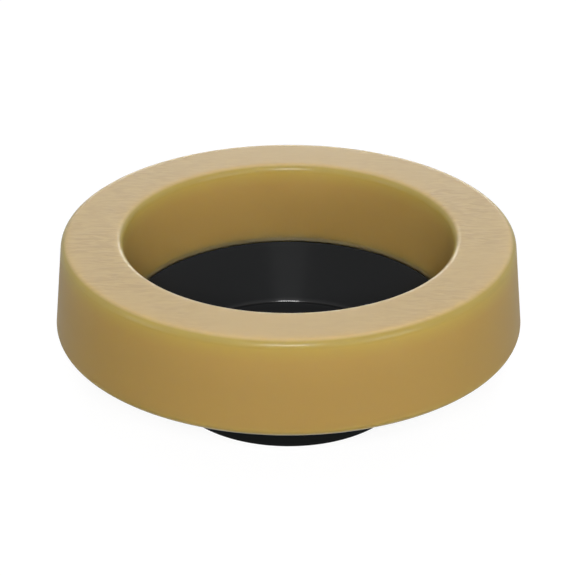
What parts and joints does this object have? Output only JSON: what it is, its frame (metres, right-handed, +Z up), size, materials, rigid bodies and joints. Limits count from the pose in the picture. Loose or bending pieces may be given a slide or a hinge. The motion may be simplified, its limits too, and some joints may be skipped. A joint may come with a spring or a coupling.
{
  "type": "toilet pan seal",
  "caption": "Thick wax ring moulded round a short plastic horn, which seals a toilet's outlet to the flange of the waste pipe.",
  "frame": {"origin": "centre of the horn's lower end, in the plane that the seal stands on", "axes": "+Z up the seal's axis, from the horn's lower end to the top face of the wax; the seal is round about Z, so X and Y are alike"},
  "size_m": [0.136, 0.136, 0.0511],
  "materials": {
    "wax": "tan cast wax, slightly translucent, with a soft sheen and fine scuffs on the top face",
    "black_plastic": "black moulded polyethylene, smooth satin"
  },
  "bodies": {
    "root": {"wax_ring": "wax", "horn": "black_plastic"}
  },
  "joints": []
}
